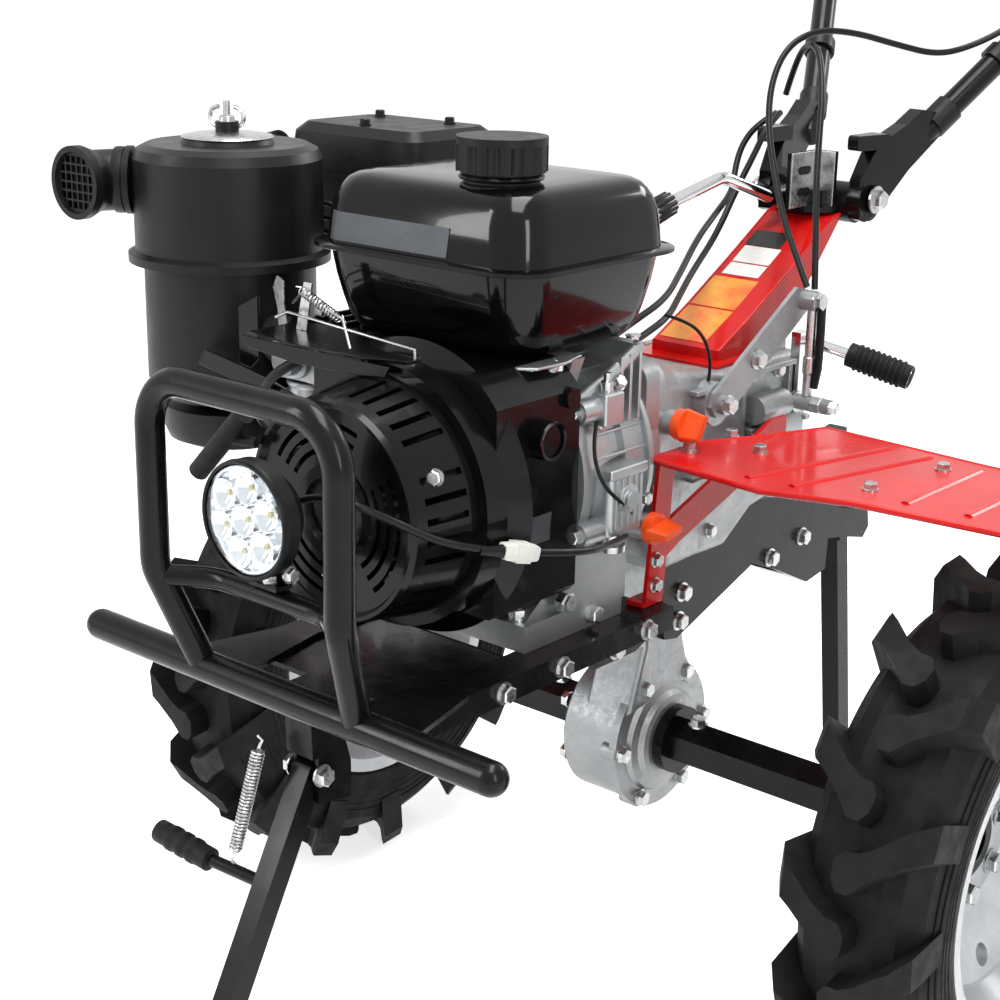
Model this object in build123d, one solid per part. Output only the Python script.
from build123d import *
import math
import os

# Two-wheel power tiller with a front stand, millimetres.
# X points to the machine's left, -Y to its front, +Z up.  The sub-parts are drawn with the
# axle at Y = 0 and moved at the end so that the middle of the overall length is the origin.

# clearances
seat_gap = 0.3
running_clearance = 0.05

# wheels
wheel_radius = 237.0
lug_height = 24.0
lug_count = 14
wheel_track = 714.0
tyre_half_width = 56.0
bead_radius = 133.0
rim_flange_height = 10.0
rim_half_width = 52.0
rim_thickness = 3.0
hub_flange_radius = 54.0
hex_width = 39.0
shaft_radius = 15.0
socket_depth = 44.0
seal_radius = 31.0
seal_length = 10.0

# heights, each measured from the one before: axle, top of the rails, crankshaft
base_height = 163.0
shaft_height = 128.0
axle_z = wheel_radius
base_z = axle_z + base_height
crank_z = base_z + shaft_height

# final drive and gearbox
case_radius = 66.0
case_left = 50.0
case_right = -32.0
neck_left = 42.0
neck_right = -8.0
gearbox_half_width = 58.0
gearbox_rear = 192.0
gearbox_top = crank_z + 44
gearbox_bottom = base_z + 7
filler_radius = 11.0
engine_filler_x = 98.0

# engine
cover_y = -104.0
cover_length = 100.0
shroud_radius = 102.0
shroud_front = -321.0
recoil_radius = 83.0
recoil_front = -381.0
slot_count = 36

# fuel tank, air cleaner, silencer
tank_left = 93.0
tank_right = -146.0
tank_front = -275.0
tank_rear = -65.0
tank_seam_z = crank_z + 170
tank_top_z = tank_seam_z + 58
tank_bottom_z = tank_seam_z - 70
cap_x = 18.0
cap_y = -214.0
cap_radius = 35.0
cleaner_x = -284.0
cleaner_y = -222.0
cleaner_radius = 81.0
bowl_radius = 74.0
cleaner_lip_z = crank_z + 137
cleaner_top_z = cleaner_lip_z + 95
snorkel_radius = 26.0
snorkel_z = cleaner_top_z - 33
muffler_left = -170.0
muffler_right = -334.0
muffler_front = -112.0
muffler_rear = 10.0
muffler_top_z = crank_z + 240

# front frame, bumper and lamp
bar_radius = 12.5
bar_half = 219.0
bar_y = -434.0
bar_z = base_z + 1
loop_radius = 11.0
loop_half = 97.0
loop_y = -465.0
loop_top_z = base_z + 230
cross_radius = 8.0
cross_z = base_z + 78
cross_setback = 26.0
rail_inner = 70.0
rail_width = 32.0
rail_height = 20.0
rail_rear = -82.0
lamp_radius = 43.0
lamp_z = cross_z + 63

# front stand
stand_pivot_y = -405.0
stand_pivot_z = base_z - 70
stand_lean = 27.6
stand_size = 18.0
stand_pin_radius = 5.0
cheek_gap = 1.0

# handlebars
handle_pivot_x = 43.0
handle_pivot_y = 275.0
handle_pivot_z = base_z + 300
arm_out = 17.6
arm_reach = 77.0
arm_lift = 51.5
arm_splay = 0.54
arm_rise = 1.015
arm_run = 195.0
bar_tube_radius = 12.0
cross_tube_radius = 19.0
grip_rear_y = 860.0
grip_x = 262.0
grip_z = base_z + 612
grip_radius = 17.0
grip_length = 122.0

# fenders
fender_z = base_z + 127
fender_end = 404.0
fender_thickness = 3.0
stay_x = 84.0
stay_thickness = 4.0

# hitch and depth stake
hitch_left = neck_left + seat_gap
hitch_right = neck_right - seat_gap
hitch_plate = 6.0
hitch_pin_y = 246.0
hitch_pin_radius = 8.0
stake_size = 20.0
stake_lean = 8.5
stake_x = 20.0

# cords
cord_radius = 3.0
lead_radius = 3.0

# The stand's foot plate is the front end of the machine and the grips are its rear end.
stand_length = stand_pivot_z / math.cos(math.radians(stand_lean))
foot_half = 30.0
foot_front = stand_pivot_y - stand_length * math.sin(math.radians(stand_lean)) - foot_half
origin_y = (foot_front + grip_rear_y) / 2


def vec(a, b):
    return Vector(*b) - Vector(*a)


def rod(a, b, r):
    """A round rod from point a to point b."""
    d = vec(a, b)
    return extrude(Plane(origin=a, z_dir=d) * Circle(r), d.length)


def box_between(x0, x1, y0, y1, z0, z1):
    size = Box(x1 - x0, y1 - y0, z1 - z0)
    return Pos((x0 + x1) / 2, (y0 + y1) / 2, (z0 + z1) / 2) * size


def cyl_x(x0, x1, y, z, r):
    """A cylinder along X from x0 to x1."""
    return Pos((x0 + x1) / 2, y, z) * Rot(0, 90, 0) * Cylinder(r, abs(x1 - x0))


def cyl_y(y0, y1, x, z, r):
    """A cylinder along Y from y0 to y1."""
    return Pos(x, (y0 + y1) / 2, z) * Rot(90, 0, 0) * Cylinder(r, abs(y1 - y0))


def cyl_z(z0, z1, x, y, r):
    return Pos(x, y, (z0 + z1) / 2) * Cylinder(r, abs(z1 - z0))


def plate_x(points, x0, x1):
    """A flat plate with a (Y, Z) outline between two X planes."""
    face = Plane(origin=(x0, 0, 0), x_dir=(0, 1, 0), z_dir=(1, 0, 0)) * make_face(Polyline(*points, close=True))
    return extrude(face, x1 - x0)


def plate_y(points, y0, y1):
    """A flat plate with an (X, Z) outline between two Y planes."""
    face = Plane(origin=(0, y1, 0), x_dir=(1, 0, 0), z_dir=(0, -1, 0)) * make_face(Polyline(*points, close=True))
    return extrude(face, y1 - y0)


def plate_z(points, z0, z1):
    face = Pos(0, 0, z0) * make_face(Polyline(*points, close=True))
    return extrude(face, z1 - z0)


def section_y(y, x0, x1, z0, z1, r):
    """A rounded rectangle that stands across Y, for a loft along the machine."""
    plane = Plane(origin=((x0 + x1) / 2, y, (z0 + z1) / 2), x_dir=(1, 0, 0), z_dir=(0, -1, 0))
    return plane * RectangleRounded(x1 - x0, z1 - z0, r)


def section_z(z, x0, x1, y0, y1, r):
    """A level rounded rectangle, for a loft upwards."""
    return Pos((x0 + x1) / 2, (y0 + y1) / 2, z) * RectangleRounded(x1 - x0, y1 - y0, r)


def turned_y(points, x, z):
    """Turn a (radius, Y) outline about a line along Y."""
    wire = Polyline(*[(x + r, y, z) for r, y in points], close=True)
    return revolve(make_face(wire), Axis((x, 0, z), (0, 1, 0)), 360)


def turned_x(points, x):
    """Turn an (X offset, radius) outline about the wheel axle, with X measured from x."""
    wire = Polyline(*[(x + a, 0, axle_z + b) for a, b in points], close=True)
    return revolve(make_face(wire), Axis((0, 0, axle_z), (1, 0, 0)), 360)


def pipe(points, radii, r):
    """A bent round pipe: straight runs joined by tangent arcs."""
    path = FilletPolyline(*points, radius=radii)
    return sweep(Plane(origin=path @ 0, z_dir=path % 0) * Circle(r), path=path)


def mirror_x(shape):
    return mirror(shape, about=Plane.YZ)


# Wheels: lugged tyres on dished rims, carried by hexagonal hub tubes on one shaft.


def tyre(side):
    w = tyre_half_width
    crown = wheel_radius - lug_height
    lip = bead_radius + rim_flange_height
    seat = rim_half_width - 5.4
    half = [
        (seat, bead_radius + seat_gap), (seat, lip + 0.4), (rim_half_width + 1, lip + 5), (w, lip + 29),
        (w - 5, crown - 19), (w - 19, crown - 4), (w - 33, crown),
    ]
    x = wheel_track / 2
    body = turned_x(half + [(-a, b) for a, b in reversed(half)], x)
    reach = 34.0
    top = math.sqrt(wheel_radius ** 2 - reach ** 2)
    lug = [
        (-8, -26), (-2, -reach), (7, -reach), (20, -20), (38, -6), (w + 1, 6), (w + 1, reach), (38, 20),
        (20, 4), (8, -3), (-3, -4), (-9, -13),
    ]
    shoulder = [(w + 1, crown - 40), (w + 1, crown + 5), (w - 10, top), (10 - w, top), (-w - 1, crown + 5), (-w - 1, crown - 40)]
    mask = plate_y([(x + a, axle_z + b) for a, b in shoulder], -60, 60)
    first_turn = math.degrees(math.atan2(reach, top))
    blocks = []
    for hand in (-1, 1):
        outline = [(x + hand * a, b, 0) for a, b in lug]
        block = Pos(0, 0, axle_z + crown - 45) * extrude(make_face(Polyline(*outline, close=True)), lug_height + 60)
        block = block & mask
        for i in range(lug_count):
            turn = 360.0 / lug_count * (i + (0.5 if hand < 0 else 0.0)) + 180 - first_turn
            blocks.append(block.rotate(Axis((0, 0, axle_z), (1, 0, 0)), turn))
    body = body + blocks
    return body if side > 0 else mirror_x(body)


def rim(side):
    t = rim_thickness
    seat = bead_radius
    lip = bead_radius + rim_flange_height
    w = rim_half_width
    outline = [
        (-w, lip), (5 - w, lip), (5 - w, seat), (-14, seat - 16), (14, seat - 16), (w - 5, seat), (w - 5, lip),
        (w, lip), (w - 2, seat - t), (18, seat - 17 - t), (16, seat - 19 - t), (0, 70), (-6, hub_flange_radius),
        (-6, 30), (-11, 30), (-11, hub_flange_radius + 2), (-4, 76), (8, seat - 19 - t), (-14, seat - 17 - t), (2 - w, seat - t),
    ]
    body = turned_x(outline, wheel_track / 2)
    for i in range(5):
        turn = Axis((0, 0, axle_z), (1, 0, 0))
        body = body - cyl_x(wheel_track / 2 - 8, wheel_track / 2 + 14, 0, axle_z + 96, 9).rotate(turn, 36 + 72 * i)
    return body if side > 0 else mirror_x(body)


def hub(side):
    """Hexagonal axle tube with the flange that the rim is bolted to."""
    inner = case_left + seat_gap if side > 0 else seat_gap - case_right
    outer = wheel_track / 2 - 10
    face = wheel_track / 2 - 11
    hexagon = RegularPolygon(hex_width / 2, 6, major_radius=False, rotation=30)
    plane = Plane(origin=(inner + seal_length, 0, axle_z), x_dir=(0, 1, 0), z_dir=(1, 0, 0))
    tube = extrude(plane * hexagon, face - 7 - inner - seal_length)
    seal = cyl_x(inner, inner + seal_length, 0, axle_z, seal_radius)
    flange = cyl_x(face - 7, face, 0, axle_z, hub_flange_radius)
    boss = cyl_x(face - 60, outer + 6, 0, axle_z, 26)
    bore = cyl_x(outer - 20, outer + 10, 0, axle_z, 16)
    socket = cyl_x(inner - 1, inner + socket_depth + seat_gap, 0, axle_z, shaft_radius + running_clearance)
    body = tube + seal + flange + boss - bore - socket
    return body if side > 0 else mirror_x(body)


def axle_shaft():
    return cyl_x(case_right - socket_depth, case_left + socket_depth, 0, axle_z, shaft_radius)


# Drive line: the final drive case hangs under the gearbox on a cast neck.


def final_drive_case():
    z = axle_z
    r = case_radius
    outline = [
        (case_right, 0), (case_right, r - 18), (case_right + 3, r - 7), (case_right + 9, r),
        (case_left - 20, r), (case_left - 20, r + 3), (case_left - 12, r + 3), (case_left - 12, r - 12),
        (case_left - 8, r - 15), (case_left - 6, r - 22), (case_left - 2, r - 26), (case_left, r - 30), (case_left, 0),
    ]
    body = turned_x(outline, 0)
    for i in range(6):
        a = math.radians(60 * i)
        y = (r - 4.5) * math.cos(a)
        body = body + cyl_x(case_left - 28, case_left - 12, y, z + (r - 4.5) * math.sin(a), 9.5)
    neck = plate_x(
        [(-56, z + 35), (-44, z + 70), (-36, z + 95), (-34, gearbox_bottom), (26, gearbox_bottom), (22, z + 95), (30, z + 70), (46, z + 45)],
        neck_right, neck_left,
    )
    sides = neck.faces().sort_by(Axis.X)
    neck = fillet(sides[0].edges() + sides[-1].edges(), 5)
    bore = cyl_x(case_right - 20, case_left + 20, 0, z, shaft_radius + running_clearance)
    return body + neck - bore


def gearbox_housing():
    z = crank_z
    w = gearbox_half_width
    low = gearbox_bottom
    top = gearbox_top
    end = gearbox_rear
    sections = [
        section_y(cover_y + 16, -80, 80, z - 70, z + 77, 34),
        section_y(cover_y + 38, -74, 74, low + 20, z + 75, 26),
        section_y(cover_y + 66, -66, 66, low, z + 64, 20),
        section_y(15, -w, w, low, z + 50, 12),
        section_y(44, -w, w, low, top, 10),
        section_y(58, -w, w, low, top, 10),
        section_y(98, -w, w, low + 26.3, top, 10),
        section_y(end - 28, -w, w, low + 36, top, 10),
        section_y(end - 18, 3 - w, w - 3, low + 50, top - 3, 10),
        section_y(end, 8 - w, w - 8, z - 48, z, 8),
    ]
    body = loft(sections, ruled=True)
    flange = cyl_y(cover_y, cover_y + 18, 0, z, 84) + extrude(section_y(cover_y + 18, -81, 81, z + 6, z + 78, 16), 18)
    boss = cyl_x(w - 8, w + 16, 10, z + 24, 19)
    ears = cyl_y(85, 140, w + 3, z - 16, 19) + cyl_y(75, 122, w + 10, z + 5, 13)
    ribs = box_between(w - 10, w + 7, 62, 68, z - 30, top - 6) + box_between(w - 10, w + 5, 140, 146, z - 30, top - 6)
    port = cyl_x(w - 20, stay_x, -62, z + 22, filler_radius)
    shelf = box_between(-44, 44, 118, end - 30, top - 4, top + 8)
    return body + flange + boss + ears + ribs + port + shelf


def oil_cap(x, y, z, turn):
    """Orange filler cap with a finger bar, seated on its port."""
    head = Pos(0, 0, 4) * Cylinder(filler_radius + 2, 8)
    wing = loft([Pos(0, 0, 6) * RectangleRounded(filler_radius, 28, 3), Pos(0, 0, 24) * RectangleRounded(6, 22, 2)])
    return Pos(x + seat_gap, y, z) * Rot(0, 90, 0) * Rot(0, 0, turn) * (head + wing)


# Engine: cast crankcase, black shroud, recoil starter, inclined cylinder, tank and silencer.


def engine_crankcase():
    z = crank_z
    front = cover_y - cover_length
    outline = [
        (0, front), (98, front), (98, front + 11), (93, front + 15), (86, front + 50), (84, front + 62), (90, front + 64),
        (90, cover_y - seat_gap), (0, cover_y - seat_gap),
    ]
    drum = turned_y(outline, 0, z)
    block = box_between(-90, 80, front, cover_y - 18, base_z + 14, z)
    foot = box_between(-100, 80, -250, -126, base_z, base_z + 22)
    web = plate_x([(-246, base_z + 20), (front, base_z + 50), (-140, base_z + 66), (-130, base_z + 20)], 20, 74)
    web = web - box_between(0, 100, -260, front, z - 84 - seat_gap, z)
    tower = plate_y([(-80, z + 40), (70, z + 60), (84, z + 99), (-60, z + 99)], front, -112)
    tower = tower - box_between(10, 100, front + 14, -124, z + 66, z + 110)
    pack = extrude(section_z(z - 44, 76, 106, -180, -136, 6), 52)
    lugs = cyl_y(front, front + 30, 88, z + 58, 10) + cyl_y(front, front + 30, 92, z - 40, 10)
    filler = cyl_x(50, engine_filler_x, cover_y - filler_radius - seat_gap, z - 52, filler_radius)
    return drum + block + foot + web + tower + pack + lugs + filler


def cylinder_head():
    """Inclined cylinder block with its head cover, inlet elbow and cooling fins on the right side."""
    z = crank_z
    block = box_between(-190, -98 - seat_gap, -214, -122, z - 22, z + 92)
    cover = extrude(Plane(origin=(-206, -167, z + 35), x_dir=(0, 1, 0), z_dir=(1, 0, 0)) * RectangleRounded(74, 94, 12), 20)
    elbow_end = cleaner_x + bowl_radius + seat_gap
    elbow = cyl_x(elbow_end, -190, cleaner_y, z + 70, 24)
    body = block + cover + elbow
    for i in range(5):
        body = body + box_between(-184 + 18 * i, -181 + 18 * i, -218, -118, z - 28, z + 96)
    return body


def fan_shroud():
    z = crank_z
    rear = cover_y - cover_length - seat_gap
    lip = turned_y(
        [(shroud_radius - 8, shroud_front), (shroud_radius, shroud_front), (shroud_radius + 2, shroud_front + 20),
         (shroud_radius + 14, shroud_front + 34), (shroud_radius - 8, shroud_front + 34)], 0, z)
    body = box_between(-98, 92, shroud_front + 20, rear, z - 84, z + 100) & cyl_y(shroud_front, rear + 10, -4, z, 124)
    top = plate_y([(-98, z + 40), (60, z + 60), (70, z + 97), (-98, z + 97)], shroud_front + 30, rear)
    cap = cyl_x(80, 102, -250, z + 48, 15.5)
    post = cyl_x(80, 98, -268, z + 6, 9) + cyl_x(80, 97, -218, z + 74, 8)
    solid = lip + body + top + cap + post
    return solid - cyl_y(shroud_front - 1, shroud_front + 60, 0, z, shroud_radius - 8)


def recoil_starter():
    """Pressed cover: a coned wall with air slots round it and arcs cut in its face."""
    z = crank_z
    y = recoil_front
    r = recoil_radius
    mouth = shroud_radius - 8 - seat_gap
    foot = shroud_front + 6
    outline = [
        (0, y + 5), (24, y + 5), (26, y), (34, y), (36, y + 5), (r - 6, y + 5), (r - 3, y), (r, y), (r + 2, y + 5),
        (mouth - 1, shroud_front), (mouth, shroud_front), (mouth, foot), (mouth - 5, foot), (mouth - 5, shroud_front + 2),
        (r - 3, y + 9), (0, y + 9),
    ]
    body = turned_y(outline, 0, z)
    for i in range(slot_count):
        if i % 6 != 5:
            a = 360.0 / slot_count * i + 5
            cut = box_between(-2.6, 2.6, y + 14, shroud_front - 8, z + r - 8, z + mouth + 4)
            body = body - cut.rotate(Axis((0, 0, z), (0, 1, 0)), a)
    for ring in (44, 54, 64):
        for start in (-52, 68, 188):
            arc = CenterArc((0, 0), ring, start, 84)
            band = Plane(origin=(0, y + 12, z), x_dir=(1, 0, 0), z_dir=(0, -1, 0)) * make_face(
                [arc, CenterArc((0, 0), ring + 4, start, 84),
                 Line(arc @ 0, (arc @ 0) * ((ring + 4) / ring)), Line(arc @ 1, (arc @ 1) * ((ring + 4) / ring))])
            body = body - extrude(band, 10)
    return body


def pull_grip():
    bar = rod((-78, recoil_front - 11, crank_z + 62), (-132, recoil_front - 11, crank_z + 7), 8)
    stem = rod((-100, recoil_front - 11, crank_z + 40), (-72, recoil_front - 4.4, crank_z + 40), 4)
    return bar + stem


def fuel_tank():
    """Two pressed shells that meet at a flat seam."""
    def level(inset, z, r):
        return section_z(z, tank_right + inset, tank_left - inset, tank_front + inset, tank_rear - inset, r)
    seam = extrude(level(0, tank_seam_z - 2, 38), 4)
    upper = loft([level(9, tank_seam_z + 2, 34), level(17, tank_top_z - 14, 32), level(22, tank_top_z - 4, 30), level(32, tank_top_z, 24)], ruled=True)
    lower = loft([level(36, tank_bottom_z, 24), level(26, tank_bottom_z + 10, 28), level(11, tank_seam_z - 2, 34)], ruled=True)
    neck = cyl_z(tank_top_z - 2, tank_top_z + 8, cap_x, cap_y, cap_radius - 5)
    return seam + upper + lower + neck


def fuel_cap():
    z = tank_top_z + 8 + seat_gap
    body = cyl_z(z, z + 26, cap_x, cap_y, cap_radius)
    for i in range(12):
        a = math.radians(30 * i)
        body = body - cyl_z(z - 1, z + 20, cap_x + (cap_radius + 3) * math.cos(a), cap_y + (cap_radius + 3) * math.sin(a), 6)
    return body


def muffler():
    x0, x1, y0, y1 = muffler_right, muffler_left, muffler_front, muffler_rear
    z1 = muffler_top_z
    box = extrude(section_z(z1 - 102, x0, x1, y0, y1, 18), 58)
    seam = extrude(section_z(z1 - 46, x0 - 4, x1 + 4, y0 - 4, y1 + 4, 22), 4)
    lid = loft([section_z(z1 - 42, x0, x1, y0, y1, 18), section_z(z1 - 8, x0 + 3, x1 - 3, y0 + 3, y1 - 3, 18),
                section_z(z1, x0 + 12, x1 - 12, y0 + 12, y1 - 12, 14)], ruled=True)
    outlet = cyl_z(crank_z + 96 + seat_gap, z1 - 90, -176, -136, 14)
    elbow = box_between(-190, -172, -150, -100, z1 - 100, z1 - 82)
    return box + seam + lid + outlet + elbow


def air_cleaner():
    x, y, r = cleaner_x, cleaner_y, cleaner_radius
    top = cleaner_top_z
    lip = cleaner_lip_z
    outline = [
        (0, lip - 130), (30, lip - 130), (bowl_radius - 12, lip - 122), (bowl_radius, lip - 106), (bowl_radius, lip - 6),
        (r + 6, lip - 4), (r + 6, lip + 3), (r, lip + 6), (r, top - 12), (r - 4, top - 4), (r - 12, top), (40, top),
        (38, top + 4), (10, top + 5), (10, top + 18), (0, top + 18),
    ]
    wire = Polyline(*[(x + a, y, b) for a, b in outline], close=True)
    return revolve(make_face(wire), Axis((x, y, 0), (0, 0, 1)), 360)


def intake_snorkel():
    """Bent inlet pipe with a flared mouth and a square grille."""
    u = (-0.76, -0.65)
    z = snorkel_z
    r = snorkel_radius
    reach = cleaner_radius + seat_gap
    a = (cleaner_x + u[0] * reach, cleaner_y + u[1] * reach, z)
    b = (cleaner_x + u[0] * (reach + 22), cleaner_y + u[1] * (reach + 22), z)
    end = b[1] - 36
    outer = pipe([a, b, (b[0], end + 14, z)], [34], r)
    mouth = turned_y([(0, end + 18), (r + 1, end + 18), (r + 5, end + 8), (r + 5, end), (r, end), (r - 2, end + 12), (0, end + 12)], b[0], z)
    foot = Plane(origin=a, z_dir=(u[0], u[1], 0)) * Circle(r + 3)
    net = Circle(r) - GridLocations(7.6, 7.6, 6, 6) * Rectangle(6, 6)
    grille = extrude(Plane(origin=(b[0], end + 6, z), x_dir=(1, 0, 0), z_dir=(0, -1, 0)) * net, 2.5)
    return outer + mouth + extrude(foot, 5) + grille


# Frame and bumper: rails under the engine, the stand's channel, and the bent tube guard.


def engine_frame():
    """Two side rails, the plates under the engine and the channel that holds the stand."""
    z1 = base_z - seat_gap
    z0 = z1 - rail_height
    front = bar_y + bar_radius + seat_gap
    inner = rail_inner
    outer = rail_inner + rail_width
    side = box_between(inner, outer, front, rail_rear, z0, z1) - box_between(inner - 1, outer - 4, front - 1, rail_rear - 4, z0 - 1, z1 - 4)
    gusset = plate_z([(inner - 20, front), (outer + 21, front), (outer - 10, -300), (inner + 6, -300)], z1 - 4, z1)
    side = side + gusset
    body = side + mirror_x(side)
    body = body + box_between(-inner - 4, inner + 4, -384, -258, z1 - 8, z1 - 4)
    body = body + box_between(-inner - 4, inner + 4, -136, rail_rear, z1 - 8, z1 - 4)
    tongue = box_between(-22, 22, front, -262, z1 - 10, z1 - 4)
    drop = stand_pivot_z
    cheek = [(-416, z1 - 6), (-392, z1 - 6), (-374, drop + 2), (-374, drop - 28), (-412, drop - 22)]
    wall = stand_size / 2 + cheek_gap
    channel = plate_x(cheek, -wall - 4, wall + 4) - box_between(-wall, wall, -408, -300, drop - 60, z1 - 10)
    channel = channel - box_between(-wall - 5, wall + 5, -420, -408, drop - 60, drop + 15)
    body = body + tongue + channel
    inset = hitch_left
    hanger = plate_x([(-140, z1 - 6), (-118, z1 - 62), (-60, z1 - 62), (-37, z1 - 54), (-37, z1 - 22), (rail_rear, z1 - 6)], inset, inset + hitch_plate)
    return body + hanger - cyl_x(-40, 40, stand_pivot_y, stand_pivot_z, stand_pin_radius + running_clearance)


def bumper():
    """Cross bar with ball ends, bent loop and the lamp's cross tube."""
    bar = cyl_x(bar_radius - bar_half, bar_half - bar_radius, bar_y, bar_z, bar_radius)
    for side in (-1, 1):
        bar = bar + Pos(side * (bar_half - bar_radius), bar_y, bar_z) * Sphere(bar_radius)
    w = loop_half
    half = [(w - 14, bar_y - 2, bar_z + 6), (w, loop_y, bar_z + 84), (w, loop_y, loop_top_z)]
    path = [(-x, y, z) for x, y, z in half] + half[::-1]
    loop = pipe(path, [40, 38, 38, 40], loop_radius)
    back = loop_y + cross_setback
    cross = pipe([(-w, loop_y, cross_z), (37 - w, back, cross_z), (w - 37, back, cross_z), (w, loop_y, cross_z)], [50, 50], cross_radius)
    return bar + loop + cross


def lamp_body():
    y = loop_y
    z = lamp_z
    r = lamp_radius
    lens = r - 3 + seat_gap
    seat = cross_z + cross_radius + seat_gap
    shell = turned_y(
        [(0, y + 8), (lens, y + 8), (lens, y + 1), (r - 1, y + 1), (r, y + 3), (r, y + 16), (r - 4, y + 20), (r - 14, y + 32), (0, y + 34)], 0, z)
    strap = box_between(-14, 14, y + 30, y + 34, seat, z + 4)
    foot = box_between(-14, 14, y + 18, y + 34, seat, seat + 3)
    return shell + strap + foot


def lamp_lens():
    y = loop_y
    r = lamp_radius - 3
    return turned_y([(0, y - 3), (r - 10, y - 2), (r - 3, y), (r, y + 2), (r, y + 8 - seat_gap), (0, y + 8 - seat_gap)], 0, lamp_z)


# Front stand: a leg that leans forward, its foot pedal and return spring.


def stand_leg():
    a = math.radians(stand_lean)
    d = (0, -math.sin(a), -math.cos(a))
    s = stand_size
    leg = Pos(0, stand_pivot_y, stand_pivot_z) * Rot(-stand_lean, 0, 0) * Pos(0, 0, 4.5 - stand_length / 2) * Box(s, s, stand_length - 9)
    head = cyl_x(-s / 2, s / 2, stand_pivot_y, stand_pivot_z, s / 2)
    foot_y = stand_pivot_y + d[1] * stand_length
    foot = extrude(section_z(0, -foot_half, foot_half, foot_y - foot_half, foot_y + foot_half, 8), 5)
    q = (0, stand_pivot_y + d[1] * 91, stand_pivot_z + d[2] * 91)
    pedal = rod(q, (-60, q[1] - 10, q[2] + 5.5), 5)
    grip = rod((-57, q[1] - 9.5, q[2] + 5.2), (-111, q[1] - 13, q[2] + 12), 9)
    pin = cyl_x(-20, 20, stand_pivot_y, stand_pivot_z, stand_pin_radius)
    return leg + head + foot + pedal + grip + pin


def stand_spring():
    return rod((-24, stand_pivot_y - 25, stand_pivot_z + 27), (-35, stand_pivot_y - 47.6, stand_pivot_z - 71.8), 5.5)


# Console and handles: sheet cover, turning base, two folding arms with their levers.


def console_cover():
    """Folded sheet cover that climbs from the gearbox to the handle base, open underneath."""
    z = gearbox_top
    t = 2.5
    y = handle_pivot_y
    top = [(y - 212, z + 11), (y - 160, z + 37), (y - 101, z + 70), (y - 31, z + 111), (y - 17, z + 114)]
    under = [(y - 21, z + 106), (y - 62, z + 61), (y - 80, z + 40), (y - 160, z + 8.3), (y - 212, z + 8.3)]
    shell = plate_x(top + under, -36, 36)
    low = [(a, b - t) for a, b in top] + [(y - 21, z - 40), (y - 212 + t, z - 40)]
    low[0] = (y - 212 + t, z + 11 - t)
    shell = shell - plate_x(low, t - 36, 36 - t)
    lip = extrude(section_z(z + seat_gap, -48, 48, y - 232, y - 160, 6), t)
    lip = lip - box_between(t - 36, 36 - t, y - 209, y - 150, z - 5, z + 10)
    skirt = box_between(-36, 36, y - 212, y - 160, z + seat_gap, z + 12)
    skirt = skirt - box_between(t - 36, 36 - t, y - 209, y - 150, z - 5, z + 20)
    return shell + lip + skirt


def handle_base():
    """Slanted column from the gearbox, its turntable disc and the cross tube of the arms."""
    y = handle_pivot_y
    z = handle_pivot_z
    seat = gearbox_top + 8 + seat_gap
    column = plate_x(
        [(y - 150, seat), (y - 114, seat), (y - 7, z - 26), (y - 7, z - 12), (y - 14, z - 12), (y - 15.5, z - 19), (y - 31, z - 25), (y - 60, z - 47)],
        -26, 26)
    disc = cyl_z(z - 13, z - 5, 0, y - 12, 33)
    half = handle_pivot_x - seat_gap
    cross = cyl_x(-half, half, y, z - 5, cross_tube_radius)
    cheek = box_between(-26, 26, y - 36, y, z - 8, z + 8)
    bracket = box_between(8, 12, y - 72, y - 22, z - 7, z + 44) + box_between(8, 32, y - 26, y - 22, z - 7, z + 44)
    stub = cyl_y(y - 60, y - 30, -16, z + 1, 9)
    return column + disc + cross + cheek + bracket + stub


def arm_point(side, run):
    x = side * (handle_pivot_x + arm_out + arm_splay * run)
    return (x, handle_pivot_y + arm_reach + run, handle_pivot_z + arm_lift + arm_rise * run)


def handlebar(side):
    c = (grip_x, grip_rear_y - 185, grip_z)
    d = (grip_x, grip_rear_y - 4, grip_z)
    tube = pipe([arm_point(1, -8), arm_point(1, arm_run), c, d], [90, 90], bar_tube_radius)
    boss = cyl_x(handle_pivot_x, handle_pivot_x + 14, handle_pivot_y, handle_pivot_z, 21)
    tilt = math.atan2(arm_out + 4, 120)
    plane = Plane(
        origin=(handle_pivot_x, handle_pivot_y, handle_pivot_z), x_dir=(math.sin(tilt), math.cos(tilt), 0),
        z_dir=(math.cos(tilt), -math.sin(tilt), 0))
    outline = [
        (-17, 18), (-15, -18), (-6, -21), (17, -8), (52, 24), (104, 60), (100, 72), (87, 77), (67, 80), (45, 67), (14, 54), (0, 42),
    ]
    bracket = extrude(plane * make_face(Polyline(*outline, close=True)), 16)
    bracket = fillet(bracket.faces().sort_by(Axis.X)[-1].edges(), 3)
    bracket = bracket - box_between(-50, handle_pivot_x, 0, 500, 0, 1200)
    knob = extrude(plane.offset(-3) * Pos(-2, 53) * RectangleRounded(46, 14, 4), 20)
    knob = knob - box_between(-50, handle_pivot_x, 0, 500, 0, 1200)
    body = tube + boss + bracket + knob
    return body if side > 0 else mirror_x(body)


def grip(side):
    body = cyl_y(grip_rear_y - grip_length, grip_rear_y, side * grip_x, grip_z, grip_radius)
    inner = cyl_y(grip_rear_y - grip_length - 2, grip_rear_y - 4 + seat_gap, side * grip_x, grip_z, bar_tube_radius + seat_gap)
    return body - inner


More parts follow.
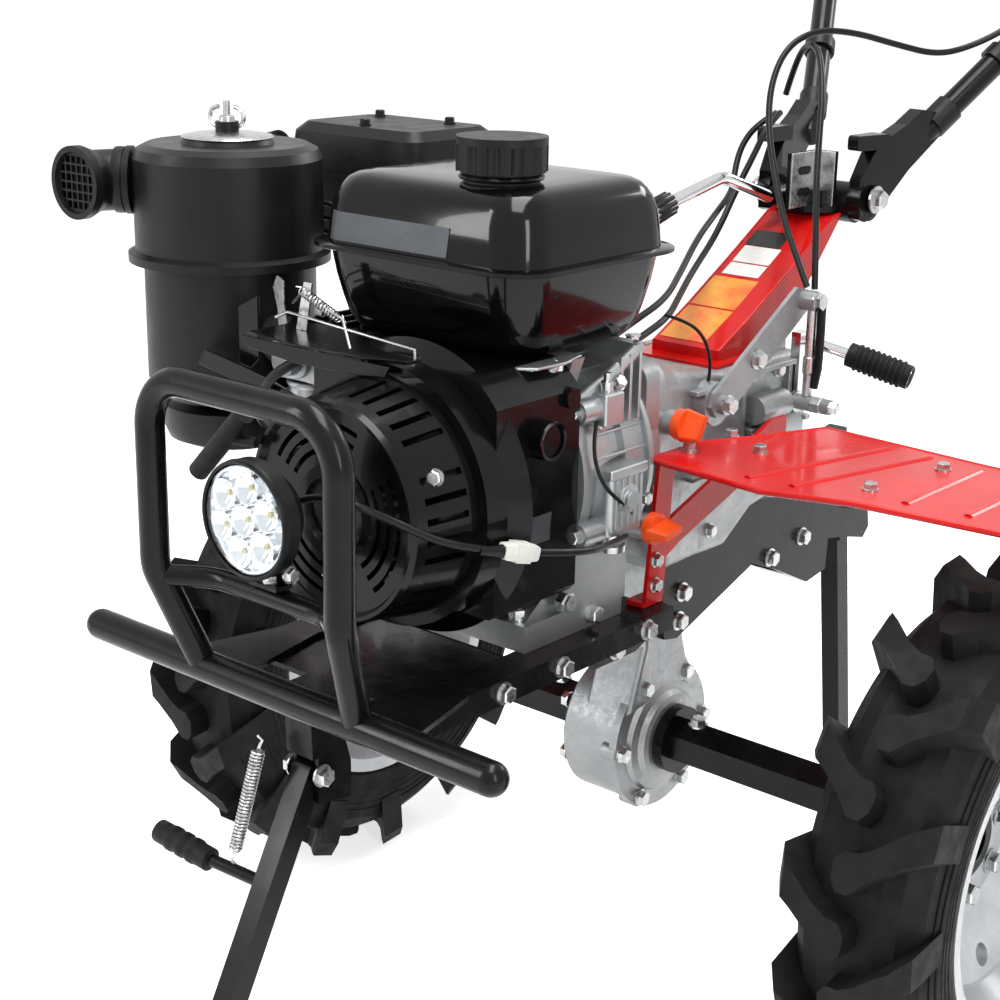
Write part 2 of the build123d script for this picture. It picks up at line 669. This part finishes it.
def hand_lever(side):
    x = side * grip_x
    y = grip_rear_y - grip_length - 10
    r = bar_tube_radius + seat_gap
    ring = cyl_y(y - 14, y + 6, x, grip_z, r + 6) - cyl_y(y - 16, y + 8, x, grip_z, r)
    z = grip_z + r
    blade = plate_x([(y - 8, z + 2), (y + 2, z + 2), (y + 8, z + 9), (y + 60, z + 17), (y + 120, z + 32), (y + 118, z + 38), (y + 56, z + 28), (y - 6, z + 18)], x - 7, x + 7)
    return ring + blade


def lock_lever():
    y = handle_pivot_y
    z = handle_pivot_z
    shaft = pipe([(-16, y - 62 - seat_gap, z + 1), (-24, y - 130, z + 24), (-30, y - 208, z + 6)], [30], 6)
    knob = rod((-29.5, y - 203, z + 7), (-32, y - 228, z - 1), 10)
    return shaft + knob


def gear_lever():
    w = gearbox_half_width
    z = gearbox_top
    shaft = rod((w + 4, 158, z + 13), (104, 180, z), 5)
    knob = rod((102, 179.4, z + 0.6), (154, 198.5, z - 15.5), 11)
    root = box_between(w + seat_gap, w + 10, 148, 162, z - 40, z + 20)
    return shaft + knob + root


def clutch_linkage():
    """Flat bar from the gearbox to the pin that carries the cable's rod."""
    x = gearbox_half_width + 16 + seat_gap
    z = crank_z
    bar = plate_x([(2, z + 14), (22, z + 14), (141, z + 89), (141, z + 106), (121, z + 111), (-2, z + 36), (-6, z + 24)], x, x + 4)
    pivot = cyl_x(x, x + 9, 10, z + 25, 9)
    pin = cyl_x(x, x + 18, 131, z + 99, 9)
    stem = cyl_z(z + 8, z + 99, x + 13, 133, 4)
    eye = cyl_x(x + 4, x + 38, 133, z + 5, 7)
    return bar + pivot + pin + stem + eye


# Fenders: sheet over each wheel on a stay that stands on the rail.


def fender(side):
    z = fender_z
    x = stay_x
    plan = [
        (x, -92), (92, -103.5), (200, -116), (270, -94), (fender_end, -82), (fender_end, 66), (300, 68), (140, 82), (108, 6), (86, -36),
    ]
    sheet = plate_z(plan, z, z + fender_thickness)
    lip = box_between(fender_end - 3, fender_end, -82, 66, z - 14, z + 1)
    foot = base_z + seat_gap
    upright = plate_x([(-103, foot), (-79, foot), (-69, z + 1), (-90, z + 1)], x, x + stay_thickness)
    brace = plate_x([(-80, z - 90), (-57, z - 79), (36, z - 48), (100, z - 22), (100, z + 1), (76, z + 1), (-5, z - 32), (-64, z - 53), (-86, z - 62)], x, x + stay_thickness)
    base = box_between(rail_inner, x + stay_thickness, -106, rail_rear, foot, foot + 4)
    part = sheet + lip + upright + brace + base
    return part if side > 0 else mirror_x(part)


# Hitch: plates each side of the drive neck, pin box and the square socket of the depth stake.


def stake_at(z):
    """Y of the stake's middle line at a height."""
    return 316.7 - (z - (base_z - 45)) * math.tan(math.radians(stake_lean))


def hitch_bracket():
    low = base_z - 4
    top = gearbox_bottom - seat_gap
    side = [
        (-25, top), (-17, low - 60), (3, low - 64), (46, low - 49), (122, low - 23), (192, low - 52), (222, low - 50),
        (222, low + 4), (218, low + 21), (145, top + 26), (104, top + 26), (62, top),
    ]
    left = plate_x(side, hitch_left, hitch_left + hitch_plate)
    right = plate_x(side, hitch_right - hitch_plate, hitch_right)
    chunk = [
        (148, top + 9), (190, top + 10), (265, low + 4), (290, low - 8), (342, low - 20), (346, low - 40), (336, low - 50),
        (297, low - 40), (266, low - 34), (264, low - 66), (230, low - 71), (167, low - 41),
    ]
    body = left + right + plate_x(chunk, hitch_right - 1, hitch_left + 1)
    body = body - box_between(hitch_right + 6, hitch_left - 6, 160, hitch_pin_y + 46, low - 58, low - 16)
    body = body + box_between(hitch_right - 1, hitch_left + 1, 60, 100, top - 6, top)
    lean = Pos(stake_x, stake_at(base_z), base_z) * Rot(stake_lean, 0, 0)
    half = stake_size / 2 + seat_gap
    body = body + lean * Pos(0, 0, -12) * Box(34, 34, 74) - lean * Box(2 * half, 2 * half, 400)
    return body - cyl_z(low - 90, low + 40, stake_x, hitch_pin_y, hitch_pin_radius)


def depth_stake():
    lean = Pos(stake_x, stake_at(base_z), base_z) * Rot(stake_lean, 0, 0)
    return lean * Pos(0, 0, -120) * Box(stake_size, stake_size, 370)


# Cords: bent tubes that stay straight between their arcs.


def cord(name, points, r):
    """Each corner takes the largest arc that its two runs have room for."""
    radii = []
    for i in range(1, len(points) - 1):
        a = vec(points[i - 1], points[i])
        b = vec(points[i], points[i + 1])
        turn = math.radians(a.get_angle(b))
        radii.append(0.45 * min(a.length, b.length) / math.tan(turn / 2))
    print(name, "radii", [round(v, 1) for v in radii])
    return pipe(points, radii, r)


clutch_cable_route = [
    (80, 133, 638.6), (62, 141, 662), (40, 151, 692), (20, 164, 728), (-2, 182, 768), (-17, 206, 806), (-20, 234, 837),
    (-9, 264, 852), (10, 302, 850), (36, 342, 838), (60, 374, 829), (80, 402, 836), (107.6, 431.1, 856), (129.2, 471.1, 896),
    (148, 508, 938), (165, 537, 966), (188, 567, 985), (218, 607, 1006), (244, 648, 1027), (258, 688, 1037.5), (261, 719.4, 1036),
]

brake_cable_route = [
    (88, 133, 636.9), (80, 143, 675), (69, 156, 714), (55, 178, 756), (40, 204, 795), (24, 226, 820), (10, 241.6, 835.6),
    (-11, 259, 841), (-31, 271.6, 826), (-45, 277.6, 790),
]

throttle_cable_route = [
    (-54, 278, 772), (-65, 262, 761), (-72, 248, 743), (-69, 233, 722), (-57, 213, 702), (-48, 172, 685), (-30, 118, 670),
    (0, 50, 650), (30, -12, 640), (36, -62, 630), (40, -110.9, 618),
]

stop_cable_route = [
    (-44, 268, 773), (-40, 241, 763), (-44, 227, 737), (-47, 206, 708), (-35, 157, 669.5), (-10, 82, 645), (20, 20, 634),
    (42, -24, 628), (50, -66, 621), (55, -110.8, 613),
]

lamp_lead_route = [
    (14, -427.7, 550), (42, -431, 562), (74, -430, 562), (89, -402, 545), (94, -366, 524), (103, -334, 513), (113, -308, 506),
    (119, -282, 501), (121, -240, 491), (119, -204, 485), (107, -160, 480.6),
]


def move_home(shape):
    return Pos(0, -origin_y, 0) * shape


nodes = {
    "tyre_left": tyre(1),
    "tyre_right": tyre(-1),
    "rim_left": rim(1),
    "rim_right": rim(-1),
    "hub_left": hub(1),
    "hub_right": hub(-1),
    "axle_shaft": axle_shaft(),
    "final_drive_case": final_drive_case(),
    "gearbox_housing": gearbox_housing(),
    "oil_cap_upper": oil_cap(stay_x, -62, crank_z + 22, 60),
    "oil_cap_lower": oil_cap(engine_filler_x, cover_y - filler_radius - seat_gap, crank_z - 52, 10),
    "engine_crankcase": engine_crankcase(),
    "cylinder_head": cylinder_head(),
    "fan_shroud": fan_shroud(),
    "recoil_starter": recoil_starter(),
    "pull_grip": pull_grip(),
    "fuel_tank": fuel_tank(),
    "fuel_cap": fuel_cap(),
    "muffler": muffler(),
    "air_cleaner": air_cleaner(),
    "intake_snorkel": intake_snorkel(),
    "engine_frame": engine_frame(),
    "bumper": bumper(),
    "lamp_body": lamp_body(),
    "lamp_lens": lamp_lens(),
    "stand_leg": stand_leg(),
    "stand_spring": stand_spring(),
    "console_cover": console_cover(),
    "handle_base": handle_base(),
    "handlebar_left": handlebar(1),
    "handlebar_right": handlebar(-1),
    "grip_left": grip(1),
    "grip_right": grip(-1),
    "clutch_lever": hand_lever(1),
    "brake_lever": hand_lever(-1),
    "lock_lever": lock_lever(),
    "gear_lever": gear_lever(),
    "clutch_linkage": clutch_linkage(),
    "fender_left": fender(1),
    "fender_right": fender(-1),
    "hitch_bracket": hitch_bracket(),
    "depth_stake": depth_stake(),
    "clutch_cable": cord("clutch_cable", clutch_cable_route, cord_radius),
    "brake_cable": cord("brake_cable", brake_cable_route, cord_radius),
    "throttle_cable": cord("throttle_cable", throttle_cable_route, cord_radius),
    "stop_cable": cord("stop_cable", stop_cable_route, cord_radius),
    "lamp_lead": cord("lamp_lead", lamp_lead_route, lead_radius),
}

os.makedirs("parts", exist_ok=True)
for name, shape in nodes.items():
    export_step(move_home(shape), "parts/" + name + ".step")
print("origin_y", round(origin_y, 2))
